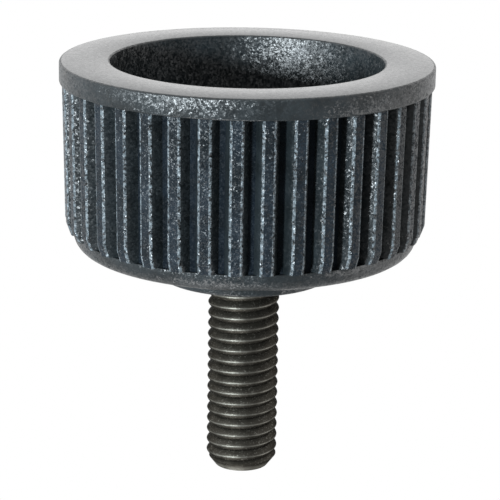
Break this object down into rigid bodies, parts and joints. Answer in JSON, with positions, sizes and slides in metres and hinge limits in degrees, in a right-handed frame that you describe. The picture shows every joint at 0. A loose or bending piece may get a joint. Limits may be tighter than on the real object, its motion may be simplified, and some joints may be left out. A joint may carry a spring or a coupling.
{
  "type": "plastic-head screw",
  "caption": "Hand screw with a hollow ribbed plastic head, plain collar, clamping boss and a threaded black steel stud moulded in.",
  "frame": {"origin": "centre of the head's open rim, on the surface that the screw stands on", "axes": "+Z along the screw's axis, from the rim towards the stud's end; +X through the middle of a groove"},
  "size_m": [0.041, 0.041, 0.0466],
  "materials": {
    "moulded_plastic": "black glass-filled polyamide, moulded with a fine spark-eroded grain",
    "black_steel": "rolled thread, black oxide, lightly oiled"
  },
  "bodies": {
    "root": {"fluted_head": "moulded_plastic", "threaded_stud": "black_steel"}
  },
  "joints": []
}
